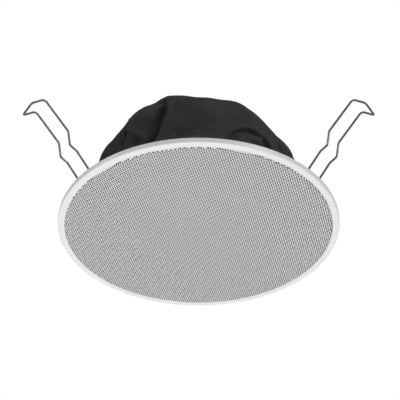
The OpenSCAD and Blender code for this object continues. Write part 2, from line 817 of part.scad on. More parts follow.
// Spring clamps: the wound coil stays on its pin, and its outer turns swing with the legs
FOOT_A = 50.9;
STEP_A = 29.4;
RISER_A = 79.8;
REACH_A = 46.7;
HOOK_A = -38.3;

function along(p, len, a) = p + len * [cos(a), sin(a)];
leave = coil_r * [sin(FOOT_A), -cos(FOOT_A)];
knee = along(leave, foot_len, FOOT_A);
heel = along(knee, step_len, STEP_A);
neck = along(heel, riser_len, RISER_A);
crest = along(neck, reach_len, REACH_A);
tip = along(crest, hook_len, HOOK_A);

// A point of the clamp's own plane, y to one side, put at the pivot
function placed(p, y) = [pivot_r + p[0], y, pivot_z + p[1]];
function reversed(v) = [for (i = [len(v) - 1 : -1 : 0]) v[i]];

// The outer turn of the swinging wire, and the insides of its bends
arm_wrap = 300;
knee_round = 3.4;
tip_round = 2.2;

module spring_arm() {
  y = leg_gap / 2;
  ring = arc([0, 0], coil_r, FOOT_A - 90 - arm_wrap, FOOT_A - 90, 13);
  corners = [for (p = [leave, knee, heel, neck, crest, tip]) placed(p, y)];
  path = concat(
    [for (p = ring) placed(p, y)],
    [for (i = [1 : 4]) each bend(corners[i - 1], corners[i], corners[i + 1], knee_round)],
    bend(corners[4], corners[5], placed(tip, -y), tip_round, 18)
  );
  other = [for (p = reversed(path)) [p[0], -p[1], p[2]]];
  color("dimgray") wire(concat(path, other), wire_d, [0, 1, 0], 8);
}

// The wound coil: two halves that meet in a tail, which bears on the bracket's back
turns = 1.5;
tail_h = 7;

module spring_coil() {
  pitch = wire_d + 0.1;
  first = leg_gap / 2 - pitch - 0.1;
  tail_a = 180;
  n = 18;
  coil = [
    for (i = [0 : n])
      let (a = tail_a - 360 * turns * (1 - i / n), y = first - pitch * turns * i / n)
        placed(coil_r * [cos(a), -sin(a)], y)
  ];
  end_y = first - pitch * turns;
  corner_a = placed([-coil_r, tail_h], end_y);
  corner_b = placed([-coil_r, tail_h], -end_y);
  path = concat(coil, bend(coil[n], corner_a, corner_b, 1.6, 30));
  other = [for (p = reversed(path)) [p[0], -p[1], p[2]]];
  color("dimgray") wire(concat(path, other), wire_d, [0, 1, 0], 8);
}

ear_at = leg_gap / 2 + wire_d / 2 + slip;
ear_h = pivot_z + pin_d / 2 + 2.6;

module spring_bracket() {
  reach = pin_d / 2 + 0.9;
  front = pivot_r + reach;
  foot_out = ear_at + 9.2;
  color("lightgray") difference() {
    union() {
      translate([bracket_r, -ear_at, 0]) cube([bracket_t, 2 * ear_at, ear_h]);
      for (s = [0, 1]) mirror([0, s, 0]) {
        translate([bracket_r, ear_at, 0]) cube([front - bracket_r, bracket_t, ear_h]);
        translate([bracket_r, ear_at, 0]) cube([6.2, foot_out - ear_at, bracket_t]);
      }
    }
    translate([pivot_r, 0, pivot_z]) rotate([90, 0, 0]) cylinder(r = pin_d / 2 + 0.05, h = 60, center = true);
    rivet_places() translate([0, 0, -1]) cylinder(r = rivet_r + fit, h = 4);
  }
}

module spring_pin() {
  out = ear_at + bracket_t + 0.1;
  color("silver") translate([pivot_r, 0, pivot_z]) rotate([90, 0, 0]) {
    cylinder(r = pin_d / 2, h = 2 * out, center = true);
    for (s = [0, 1]) mirror([0, 0, s]) translate([0, 0, out])
      cylinder(r1 = pin_d / 2 + 0.8, r2 = pin_d / 2 + 0.4, h = 0.7);
  }
}

module at_clamp(i) {
  rotate(CLAMP_AT[i - 1]) children();
}

panel_frame();
punched_net();
scrim_cloth();
driver_gasket();
basket();
surround();
cone();
dust_cap();
coil_former();
voice_coil();
spider();
top_plate();
magnet_ring();
yoke();
driver_screws();
tag_strip();
solder_tags();
tinsel_leads();
transformer_bracket();
transformer_core();
transformer_bobbin();
transformer_winding();
transformer_clamp();
transformer_screws();
terminal_block();
terminal_screws();
lead_wires();
dust_cover();
hem_cord();
bracket_rivets();
at_clamp(1) spring_arm();  // spring_arm_1
at_clamp(2) spring_arm();  // spring_arm_2
at_clamp(3) spring_arm();  // spring_arm_3
at_clamp(1) spring_coil();  // spring_coil_1
at_clamp(2) spring_coil();  // spring_coil_2
at_clamp(3) spring_coil();  // spring_coil_3
at_clamp(1) spring_bracket();  // spring_bracket_1
at_clamp(2) spring_bracket();  // spring_bracket_2
at_clamp(3) spring_bracket();  // spring_bracket_3
at_clamp(1) spring_pin();  // spring_pin_1
at_clamp(2) spring_pin();  // spring_pin_2
at_clamp(3) spring_pin();  // spring_pin_3
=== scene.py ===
import json
import math

import bpy
import numpy as np
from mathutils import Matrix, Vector


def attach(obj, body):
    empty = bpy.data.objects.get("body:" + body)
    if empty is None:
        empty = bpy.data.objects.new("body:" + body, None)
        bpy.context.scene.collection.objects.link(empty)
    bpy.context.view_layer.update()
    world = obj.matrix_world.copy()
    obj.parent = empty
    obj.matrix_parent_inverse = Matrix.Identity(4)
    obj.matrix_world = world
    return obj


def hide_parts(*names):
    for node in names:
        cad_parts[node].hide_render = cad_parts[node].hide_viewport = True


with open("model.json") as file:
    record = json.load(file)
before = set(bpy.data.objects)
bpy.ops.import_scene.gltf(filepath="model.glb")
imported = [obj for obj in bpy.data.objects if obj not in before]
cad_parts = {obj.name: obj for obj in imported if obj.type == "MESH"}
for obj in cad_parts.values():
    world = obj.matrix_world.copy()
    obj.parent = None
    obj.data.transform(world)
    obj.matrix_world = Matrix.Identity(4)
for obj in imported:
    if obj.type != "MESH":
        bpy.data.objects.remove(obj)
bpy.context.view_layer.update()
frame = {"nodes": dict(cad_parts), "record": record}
NODES = frame["nodes"]

# Sizes in millimetres, in the frame of the CAD model: origin on the ceiling seat, +Z up
MM = 0.001
TAU = 2 * math.pi
NET_R, NET_BEND, NET_FRONT, NET_T, NET_FOOT = 108.9, 2.0, -5.4, 0.4, -2.0
NET_PITCH, NET_HOLE_R, NET_TURN = 2.0, 0.79, 17.1
HOLE_SIDES = 8
NET_PLAIN = 1.75  # left without holes along the net's edge
SHARP_ANGLE = 40  # degrees between two faces, from which the net's edges stay sharp
COLLAR_H, BEAD_OUT = 18.5, 90.65
HEM_R, COVER_TOP, SIDE_R, SHOULDER_R, CLOTH_T = 89.4, 94.6, 82.5, 44.0, 0.6
TOP_R, SHOULDER_Z = SIDE_R - SHOULDER_R, COVER_TOP - SHOULDER_R
PLAN_R = 80.0  # the radius that the cover's stays are counted from
PIVOT_R, PIVOT_Z, COIL_R, WIRE_R, LEG_Y = 94.35, 4.2, 2.9, 0.9, 8.63
WIRE_SIDES = 16
KNEE_R, HOOK_R, TAIL_R = 3.4, 2.2, 1.6  # of the wire's bends
TAIL_Z = 7.0  # of the coil's tail, above the pivot
CLAMP_AT = {1: 90.0, 2: 210.0, 3: 330.0}
OTHER_SIDE = np.array([1, -1, 1])  # mirrors a clamp's leg about the middle of the clamp


# The camera: in front of the panel and below it, looking up at the net
def place_camera():
    lens = bpy.data.cameras.new("camera")
    lens.sensor_width, lens.lens = 36, 121.28
    lens.clip_start, lens.clip_end = 0.01, 50
    camera = bpy.data.objects.new("camera", lens)
    bpy.context.scene.collection.objects.link(camera)
    camera.location = (0.00106, -0.8976, -0.6402)
    aim = Vector((0.00106, 0, 0.02706)) - camera.location
    camera.rotation_euler = aim.to_track_quat("-Z", "Y").to_euler()
    bpy.context.scene.camera = camera


place_camera()


# Shader maths
class Socket:
    """One output of a shader node. Python's operators on it add Math nodes to the same tree."""

    def __init__(self, finish, out):
        self.finish, self.out = finish, out

    def maths(self, operation, *terms):
        return self.finish.node("ShaderNodeMath", {"operation": operation}, dict(enumerate(terms)))

    def __add__(self, other):
        return self.maths("ADD", self, other)

    def __rsub__(self, other):
        return self.maths("SUBTRACT", other, self)

    def __mul__(self, other):
        return self.maths("MULTIPLY", self, other)

    def __abs__(self):
        return self.maths("ABSOLUTE", self)

    __radd__, __rmul__ = __add__, __mul__


class Finish:
    """A material with one Principled shader. node() adds any node: its settings first, then the values or
    links of its sockets."""

    def __init__(self, name, **constants):
        self.material = bpy.data.materials.new(name)
        self.material.use_nodes = True
        self.tree = self.material.node_tree
        self.shader = self.tree.nodes["Principled BSDF"]
        self.set(**constants)

    def node(self, kind, settings=None, sockets=None, out=0):
        made = self.tree.nodes.new(kind)
        for key, value in (settings or {}).items():
            setattr(made, key, value)
        for key, value in (sockets or {}).items():
            self.feed(made.inputs[key], value)
        return Socket(self, made.outputs[out])

    def feed(self, into, value):
        if isinstance(value, Socket):
            self.tree.links.new(value.out, into)
        else:
            into.default_value = value

    def set(self, **values):
        for key, value in values.items():
            self.feed(self.shader.inputs[key.replace("_", " ")], value)

    def place(self, x=1.0, y=1.0, z=1.0):
        """The piece's own coordinates in metres, each axis times a factor."""
        whole = self.node("ShaderNodeTexCoord", out="Object")
        return self.node("ShaderNodeMapping", sockets={"Vector": whole, "Scale": (x, y, z)})

    def mottle(self, per_metre, detail=2.0, rough=0.5, at=None, seed=0.0):
        """Noise from 0 to 1, its blotches 1 / per_metre across."""
        settings = {"noise_dimensions": "4D"}
        at = at or self.place()
        sockets = {"Vector": at, "W": seed, "Scale": per_metre, "Detail": detail, "Roughness": rough}
        return self.node("ShaderNodeTexNoise", settings, sockets)

    def mix(self, share, a, b):
        """Colour a turning into colour b as share goes from 0 to 1."""
        a, b = ((*colour, 1) if isinstance(colour, tuple) else colour for colour in (a, b))
        return self.node("ShaderNodeMix", {"data_type": "RGBA"}, {0: share, 6: a, 7: b}, out=2)

    def ramp(self, value, low, high):
        """0 below low, 1 above high, a smooth step between."""
        settings = {"interpolation_type": "SMOOTHSTEP", "clamp": True}
        return self.node("ShaderNodeMapRange", settings, {0: value, 1: low, 2: high, 3: 0.0, 4: 1.0})

    def bump(self, height, depth, strength=1.0):
        """height, from 0 to 1, raises the surface by depth in metres."""
        sockets = {"Height": height, "Distance": depth, "Strength": strength}
        self.set(Normal=self.node("ShaderNodeBump", sockets=sockets))

    def across(self, at, axis):
        """One of the three coordinates of at."""
        return self.node("ShaderNodeSeparateXYZ", sockets={0: at}, out="xyz".index(axis))

    def waves(self, along, pitch):
        """A sine of the coordinate along that returns to 0 at every pitch."""
        turns = along * (math.pi / pitch)
        return turns.maths("SINE", turns)


def shaded(rgb, by):
    """A colour times a number, kept as three numbers."""
    return tuple(min(1.0, c * by) for c in rgb)


SHEET_PITCH = 0.0005  # of the core's laminations, in metres


# Finishes, one for each kind of surface on the speaker
def moulded_plastic(name, rgb, roughness=0.36):
    """Moulded plastic: a faint flow mottle, fine spark-eroded grain and small gloss changes."""
    f = Finish(name)
    flow = f.mottle(22, 3)
    grain = f.mottle(2600, 1, seed=3)
    colour = f.mix(flow, shaded(rgb, 0.975), shaded(rgb, 1.015))
    f.set(Base_Color=colour, Roughness=roughness - 0.04 + 0.08 * f.mottle(60, 2, seed=1))
    f.set(Specular_IOR_Level=0.42)
    f.bump(grain * 0.7 + flow * 0.3, 0.00002, 0.5)
    return f.material


def punched_coat_with_hole_shade(name, rgb, roughness=0.45):
    """Powder coat on a punched sheet, with painted shade in the holes: its colour darkens to near black
    towards the back. The sheet's points carry how deep they lie, 0 on its face and 1 on its back."""
    f = Finish(name)
    peel = f.mottle(1100, 1)
    # painted shade: the hole walls turn from the coat's colour to near black as they go deeper
    deep = f.ramp(f.node("ShaderNodeAttribute", {"attribute_name": "depth"}, out=2), 0.0, 0.35)
    coat = f.mix(f.mottle(30, 2, seed=2), shaded(rgb, 0.97), shaded(rgb, 1.01))
    f.set(Base_Color=f.mix(deep, coat, shaded(rgb, 0.03)), Roughness=roughness + 0.08 * peel)
    f.bump(peel, 0.00003, 0.6)
    return f.material


def plated_steel(name, rgb, tint, roughness=0.34):
    """Zinc plate: cloudy patches of a second tint, with fine rolling lines that change the gloss."""
    f = Finish(name, Metallic=0.92)
    cloud = f.mottle(70, 4, 0.6)
    lines = f.mottle(500, 2, 0.6, f.place(1, 12, 12), 5)
    f.set(Base_Color=f.mix(f.ramp(cloud, 0.35, 0.68), rgb, tint), Roughness=roughness - 0.07 + 0.2 * lines)
    f.bump(lines, 0.000008, 0.5)
    return f.material


def black_enamel(name, rgb):
    """Stoved black enamel: smooth, with a fine dust of lighter specks and gloss that dulls in patches."""
    f = Finish(name)
    dust = f.ramp(f.mottle(1800, 2, 0.6), 0.66, 0.74)
    f.set(Base_Color=f.mix(dust * 0.4, rgb, shaded(rgb, 3)), Roughness=0.32 + 0.16 * f.mottle(90, 2, seed=4))
    f.bump(f.mottle(700, 1, seed=6), 0.00002, 0.5)
    return f.material


def pressed_paper(name, rgb, light):
    """Pressed pulp: short fibres lying every way, a little lighter than the pulp, with a felted surface."""
    f = Finish(name)
    fibres = f.ramp(f.mottle(1500, 4, 0.75), 0.5, 0.72)
    f.set(Base_Color=f.mix(fibres * 0.6, rgb, light), Roughness=0.86 + 0.1 * f.mottle(300, 1))
    f.bump(fibres + 0.5 * f.mottle(420, 3, seed=2), 0.00006, 0.8)
    return f.material


def soft_rubber(name, rgb, grain=1300):
    """Foam or rubber: matte, with fine open pores, each painted darker towards its middle as painted shade.
    """
    f = Finish(name)
    cells = f.node("ShaderNodeTexVoronoi", {}, {"Vector": f.place(), "Scale": grain})
    # painted shade: each pore is darker towards its middle, where the bump is lowest
    f.set(Base_Color=f.mix(f.ramp(cells, 0.1, 0.6), shaded(rgb, 0.6), shaded(rgb, 1.3)), Roughness=0.82)
    f.bump(cells, 0.00008, 0.6)
    return f.material


def crossed_threads(f, at, pitch):
    """A plain weave, 0 to 1 high: threads one way and the other take turns on top, each a half sine."""
    one, two = f.waves(f.across(at, "x"), pitch), f.waves(f.across(at, "y"), pitch)
    turn = f.ramp(one * two, -0.25, 0.25)
    return abs(one) * turn + abs(two) * (1 - turn)


def woven(name, rgb, pitch, light, shine=0.3, by_uv=False, roughness=0.9):
    """Woven cloth: crossed threads, each thread lighter along its middle as a painted highlight and darker
    between threads as painted shade, with slow changes of tone.
    """
    f = Finish(name)
    at = f.node("ShaderNodeTexCoord", out="UV") if by_uv else f.place()
    threads = crossed_threads(f, at, pitch)
    tone = f.mottle(45, 3, seed=1)
    # painted highlight and shade: the colour is lightest on each thread's crown and darkest between threads
    f.set(Base_Color=f.mix(threads * 0.55 + tone * 0.35, rgb, light), Roughness=roughness - 0.12 * threads)
    f.set(Specular_IOR_Level=shine)
    f.bump(threads, 0.00006, 0.45)
    return f.material


def drawn_wire(name, rgb, light):
    """Drawn spring steel, oiled dark: a fine grain over the wire and a few brighter rubbed places."""
    f = Finish(name, Metallic=0.85)
    rubbed = f.ramp(f.mottle(260, 3, 0.6), 0.52, 0.75)
    gloss = 0.34 - 0.1 * rubbed + 0.08 * f.mottle(1500, 2, seed=3)
    f.set(Base_Color=f.mix(rubbed * 0.6, rgb, light), Roughness=gloss)
    f.bump(f.mottle(2500, 2, seed=7), 0.00001, 0.4)
    return f.material


def fired_ferrite(name, rgb):
    """Fired ferrite: charcoal grey with grains painted lighter as painted glints, and small pits."""
    f = Finish(name, Metallic=0.25)
    grain = f.ramp(f.mottle(3200, 2, 0.7), 0.55, 0.7)
    pits = f.ramp(f.mottle(420, 2, 0.5, seed=5), 0.62, 0.7)
    # painted glints: the grains are painted 2.2 times lighter than the ferrite
    f.set(Base_Color=f.mix(grain, rgb, shaded(rgb, 2.2)), Roughness=0.55 + 0.25 * pits)
    f.bump(1 - pits, 0.00015, 0.7)
    return f.material


def stacked_sheets(name, rgb, edge):
    """Laminations on edge: thin steel sheets SHEET_PITCH apart, with rusty varnish between them."""
    f = Finish(name, Metallic=0.6)
    gaps = abs(f.waves(f.across(f.place(), "y"), SHEET_PITCH))
    varnish = f.mottle(160, 3, 0.6)
    f.set(Base_Color=f.mix(f.ramp(gaps, 0.1, 0.5), edge, rgb), Roughness=0.42 + 0.25 * varnish)
    f.bump(gaps, 0.00008, 0.8)
    return f.material


def wound_copper(name, rgb, pitch, across="z"):
    """Wire wound close in rings: the surface rises and falls with each turn along one axis, and the colour
    darkens to a third in the grooves between turns as painted shade.
    """
    f = Finish(name, Metallic=0.75, Coat_Weight=0.4)
    turns = abs(f.waves(f.across(f.place(), across), pitch))
    # painted shade: the copper darkens to a third of its colour in the grooves between turns
    f.set(Base_Color=f.mix(turns, shaded(rgb, 0.35), rgb), Roughness=0.3 + 0.15 * f.mottle(900, 2))
    f.bump(turns, pitch * 0.4, 0.8)
    return f.material


def glossy_tape(name, rgb):
    """Yellow polyester tape over the winding: glossy, with low ripples and a darker bloom of varnish."""
    f = Finish(name, Coat_Weight=0.5)
    ripple = f.mottle(260, 3, 0.6, f.place(1, 1, 3))
    bloom = f.ramp(f.mottle(110, 3, seed=2), 0.4, 0.8)
    f.set(Base_Color=f.mix(bloom, rgb, shaded(rgb, 0.55)), Roughness=0.22 + 0.2 * ripple)
    f.bump(ripple, 0.0002, 0.6)
    return f.material


def laminated_board(name, rgb):
    """Phenolic paper board: brown, with fine layered fibres."""
    f = Finish(name)
    layers = f.mottle(700, 3, 0.7, f.place(1, 1, 8))
    f.set(Base_Color=f.mix(layers, shaded(rgb, 0.7), shaded(rgb, 1.25)), Roughness=0.4 + 0.15 * layers)
    f.bump(layers, 0.00003, 0.5)
    return f.material


WHITE = (0.83, 0.84, 0.84)
ZINC, ZINC_TINT = (0.62, 0.62, 0.6), (0.68, 0.66, 0.55)
FINISHES = {
    "white_panel": moulded_plastic("moulded_white", WHITE),
    "net_enamel": punched_coat_with_hole_shade("net_coat_with_painted_hole_shade", (0.86, 0.87, 0.87)),
    "scrim": woven("scrim_weave", (0.012, 0.012, 0.012), 0.0008, (0.03, 0.03, 0.03)),
    "gasket_foam": soft_rubber("gasket_foam", (0.03, 0.03, 0.03)),
    "black_steel": black_enamel("black_stove_enamel", (0.03, 0.03, 0.034)),
    "surround_rubber": soft_rubber("surround_foam", (0.035, 0.035, 0.037), 2200),
    "cone_paper": pressed_paper("cone_pulp", (0.035, 0.035, 0.036), (0.09, 0.09, 0.085)),
    "cap_cloth": pressed_paper("cap_felt", (0.02, 0.02, 0.021), (0.05, 0.05, 0.05)),
    "former_paper": pressed_paper("former_kraft", (0.42, 0.29, 0.16), (0.6, 0.46, 0.28)),
    "copper_wire": wound_copper("voice_coil_copper", (0.72, 0.32, 0.14), 0.00025),
    "spider_cloth": woven("spider_weave", (0.42, 0.27, 0.09), 0.0006, (0.68, 0.5, 0.22)),
    "zinc_plate": plated_steel("zinc_plate", ZINC, ZINC_TINT),
    "ferrite": fired_ferrite("ferrite_ring", (0.045, 0.045, 0.047)),
    "zinc_screw": plated_steel("screw_zinc", (0.66, 0.66, 0.66), (0.72, 0.71, 0.66), 0.25),
    "phenolic_board": laminated_board("phenolic_board", (0.28, 0.15, 0.07)),
    "tag_brass": plated_steel("tinned_brass", (0.72, 0.62, 0.38), (0.7, 0.68, 0.6), 0.28),
    "tinsel_braid": wound_copper("tinsel_braid", (0.62, 0.4, 0.22), 0.0005, "x"),
    "core_laminations": stacked_sheets("core_laminations", (0.34, 0.34, 0.35), (0.09, 0.06, 0.045)),
    "bobbin_nylon": moulded_plastic("bobbin_nylon", (0.78, 0.76, 0.68), 0.42),
    "winding_tape": glossy_tape("winding_tape", (0.72, 0.56, 0.12)),
    "block_nylon": moulded_plastic("block_nylon", (0.8, 0.8, 0.78), 0.4),
    "lead_sleeve": moulded_plastic("lead_sleeve", (0.42, 0.03, 0.025), 0.3),
    "cover_cloth": woven(
        "cover_weave", (0.042, 0.042, 0.044), 0.001, (0.084, 0.084, 0.088),
        shine=0.0, by_uv=True, roughness=0.8,
    ),
    "elastic_cord": woven("elastic_braid", (0.012, 0.012, 0.012), 0.0007, (0.03, 0.03, 0.03)),
    "spring_wire": drawn_wire("spring_wire", (0.10, 0.10, 0.092), (0.32, 0.32, 0.3)),
}


def finish_frame():
    """Each CAD node takes the finish of its slot in the record."""
    for part in frame["record"]["subparts"]:
        mesh = NODES[part["node"]].data
        if not mesh.materials:
            mesh.materials.append(None)
        for i in range(len(mesh.materials)):
            mesh.materials[i] = FINISHES[part["material_slot"]]


finish_frame()


# Meshes from numpy
def mesh_piece(name, points, loops, sizes, slot, body="housing", uv=None):
    """A mesh object from points in millimetres, the faces' corners end to end and how many each face has."""
    mesh = bpy.data.meshes.new(name)
    mesh.vertices.add(len(points))
    mesh.vertices.foreach_set("co", (np.asarray(points) * MM).astype(np.float32).ravel())
    mesh.loops.add(len(loops))
    mesh.loops.foreach_set("vertex_index", np.asarray(loops, np.int32))
    starts = np.concatenate([[0], np.cumsum(sizes)[:-1]])
    mesh.polygons.add(len(sizes))
    mesh.polygons.foreach_set("loop_start", starts.astype(np.int32))
    mesh.polygons.foreach_set("loop_total", np.asarray(sizes, np.int32))
    mesh.update(calc_edges=True)
    mesh.validate()
    mesh.polygons.foreach_set("use_smooth", np.full(len(sizes), True))
    if uv is not None:
        layer = mesh.uv_layers.new(name="cut")
        layer.data.foreach_set("uv", (uv[np.asarray(loops)] * MM).astype(np.float32).ravel())
    mesh.materials.append(FINISHES[slot])
    made = bpy.data.objects.new(name, mesh)
    bpy.context.scene.collection.objects.link(made)
    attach(made, body)
    return made


def grid_quads(rows, cols):
    """Corner numbers of the quads of a grid, rows by cols points, each row joined round to its start."""
    i, k = np.meshgrid(np.arange(rows - 1), np.arange(cols), indexing="ij")
    j = (k + 1) % cols
    return np.stack([i * cols + k, i * cols + j, (i + 1) * cols + j, (i + 1) * cols + k], -1).reshape(-1, 4)


def turned_about_z(points, degrees):
    c, s = math.cos(math.radians(degrees)), math.sin(math.radians(degrees))
    return points @ np.array([[c, s, 0], [-s, c, 0], [0, 0, 1]])


# The net: every hole is punched in a six-sided cell, and the cells tile the sheet
def net_cells():
    """Centres of the cells: whole steps i, j along two lattice directions 60 degrees apart."""
    n = int(NET_R / NET_PITCH / 0.8)
    i, j = np.meshgrid(np.arange(-n, n + 1), np.arange(-n, n + 1), indexing="ij")
    flat = np.stack([i + j / 2, j * math.sqrt(3) / 2], -1).reshape(-1, 2) * NET_PITCH
    c, s = math.cos(math.radians(NET_TURN)), math.sin(math.radians(NET_TURN))
    return flat @ np.array([[c, s], [-s, c]])


def outline_of(centres, radius, sides, start):
    """For each centre, the corners of a regular outline: centre + radius (cos a, sin a)."""
    a = np.radians(start) + TAU * np.arange(sides) / sides
    return centres[:, None, :] + radius * np.stack([np.cos(a), np.sin(a)], -1)[None]


def over_bend(flat, inward):
    """Points of the flat sheet wrapped on the pan: flat up to the bend, then round it, then straight back to
    the foot. inward is the depth under the outer face."""
    far = np.linalg.norm(flat, axis=1)
    corner, radius = NET_R - NET_BEND, NET_BEND - inward
    a = np.clip((far - corner) / NET_BEND, 0, math.pi / 2)
    lip = np.maximum(far - corner - NET_BEND * math.pi / 2, 0)
    r = np.minimum(far, corner) + radius * np.sin(a)
    z = NET_FRONT + NET_BEND - radius * np.cos(a) + lip
    return np.column_stack([flat * (r / np.maximum(far, 1e-9))[:, None], z])


def net_sheet(name, centres, punched, border_r):
    """Part of the sheet, closed: front and back tiles with holes, and a wall along every hole and free edge.
    Tiles that cross border_r have their corners drawn in to it."""
    hexes = outline_of(centres, NET_PITCH / math.sqrt(3), 6, NET_TURN + 30)
    far = np.linalg.norm(hexes, axis=2)
    drawn_in = hexes * (border_r / np.maximum(far, 1e-9))[..., None]
    hexes = np.where((far > border_r)[..., None], drawn_in, hexes)
    holes = outline_of(centres[punched], NET_HOLE_R, HOLE_SIDES, NET_TURN + 30)
    flat = np.concatenate([hexes.reshape(-1, 2), holes.reshape(-1, 2)])
    _, first, same = np.unique(np.round(flat, 4), axis=0, return_index=True, return_inverse=True)
    same = same.ravel()
    points = flat[first]
    hex_at = same[: hexes.shape[0] * 6].reshape(-1, 6)
    hole_at = same[hexes.shape[0] * 6 :].reshape(-1, HOLE_SIDES)
    plain = hex_at[~punched]
    outer = hex_at[punched]
    # between the hexagon and the hole: a triangle on each side of both, to the nearest corner of the other
    near_hole = np.round(np.arange(6) * HOLE_SIDES / 6).astype(int) % HOLE_SIDES
    tiles = []
    for k in range(6):
        k2, h, h2 = (k + 1) % 6, near_hole[k], near_hole[(k + 1) % 6]
        tiles.append(np.stack([outer[:, k], outer[:, k2], hole_at[:, h2]], -1))
        step = h
        while step != h2:
            after = (step + 1) % HOLE_SIDES
            tiles.append(np.stack([outer[:, k], hole_at[:, after], hole_at[:, step]], -1))
            step = after
    for k in range(1, 5):
        tiles.append(np.stack([plain[:, 0], plain[:, k], plain[:, k + 1]], -1))
    tiles = np.concatenate(tiles)
    distinct = (tiles[:, 0] != tiles[:, 1]) & (tiles[:, 1] != tiles[:, 2]) & (tiles[:, 2] != tiles[:, 0])
    tiles = tiles[distinct]
    edges = np.concatenate([tiles[:, [0, 1]], tiles[:, [1, 2]], tiles[:, [2, 0]]])
    key = np.sort(edges, axis=1)
    _, where, uses = np.unique(key, axis=0, return_index=True, return_counts=True)
    free = edges[where[uses == 1]]
    n = len(points)
    solid = np.concatenate([over_bend(points, 0), over_bend(points, NET_T)])
    front, back = tiles[:, ::-1], tiles + n
    walls = np.stack([free[:, 0], free[:, 1], free[:, 1] + n, free[:, 0] + n], -1)
    loops = np.concatenate([front.ravel(), back.ravel(), walls.ravel()])
    sizes = np.concatenate([np.full(len(front) * 2, 3), np.full(len(walls), 4)])
    made = mesh_piece(name, solid, loops, sizes, "net_enamel")
    depth = made.data.attributes.new("depth", "FLOAT", "POINT")
    depth.data.foreach_set("value", np.repeat(np.float32([0, 1]), n))
    made.data.set_sharp_from_angle(angle=math.radians(SHARP_ANGLE))
    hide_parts("punched_net")


def punch_net():
    """The sheet in three parts of 120 degrees each. The holes run on over the bend, up to a plain edge."""
    border_r = NET_R - NET_BEND + NET_BEND * math.pi / 2 + NET_FOOT - NET_FRONT - NET_BEND
    centres = net_cells()
    far = np.linalg.norm(centres, axis=1)
    centres = centres[far < border_r + NET_PITCH * 0.6]
    punched = np.linalg.norm(centres, axis=1) < border_r - NET_HOLE_R - NET_PLAIN
    third = ((np.degrees(np.arctan2(centres[:, 1], centres[:, 0])) - NET_TURN) % 360 // 120).astype(int)
    for k in range(3):
        pick = third == k
        net_sheet(f"net_third_{k + 1}", centres[pick], punched[pick], border_r)


def line_net():
    """The scrim: thin cloth stuck inside the pan and up its bend, as a section turned round the axis."""
    corner = NET_R - NET_BEND
    a = np.radians(np.arange(0, 91, 10))
    faces = []
    for radius in (NET_BEND - NET_T - 0.02, NET_BEND - NET_T - 0.2):
        bend = np.column_stack([corner + radius * np.sin(a), NET_FRONT + NET_BEND - radius * np.cos(a)])
        faces.append(np.concatenate([[[0.01, bend[0, 1]]], bend, [[bend[-1, 0], NET_FOOT - 0.1]]]))
    section = np.concatenate([faces[0], faces[1][::-1]])
    cols = 180
    t = TAU * np.arange(cols) / cols
    r, z = section[:, 0, None], section[:, 1, None]
    ring = np.stack([r * np.cos(t), r * np.sin(t), z + 0 * t], -1)
    i, k = np.meshgrid(np.arange(len(section)), np.arange(cols), indexing="ij")
    j, below = (k + 1) % cols, (i + 1) % len(section)
    quads = np.stack([i * cols + k, i * cols + j, below * cols + j, below * cols + k], -1).reshape(-1, 4)
    made = mesh_piece("scrim_lining", ring.reshape(-1, 3), quads.ravel(), np.full(len(quads), 4), "scrim")
    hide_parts("scrim_cloth")


punch_net()
line_net()


# The dust cover: a gathered round of cloth over the driver, drawn in over the collar by the cord
def soft(t):
    t = np.clip(t, 0, 1)
    return t * t * (3 - 2 * t)


def turn_between(a, b):
    return (a - b + 540) % 360 - 180


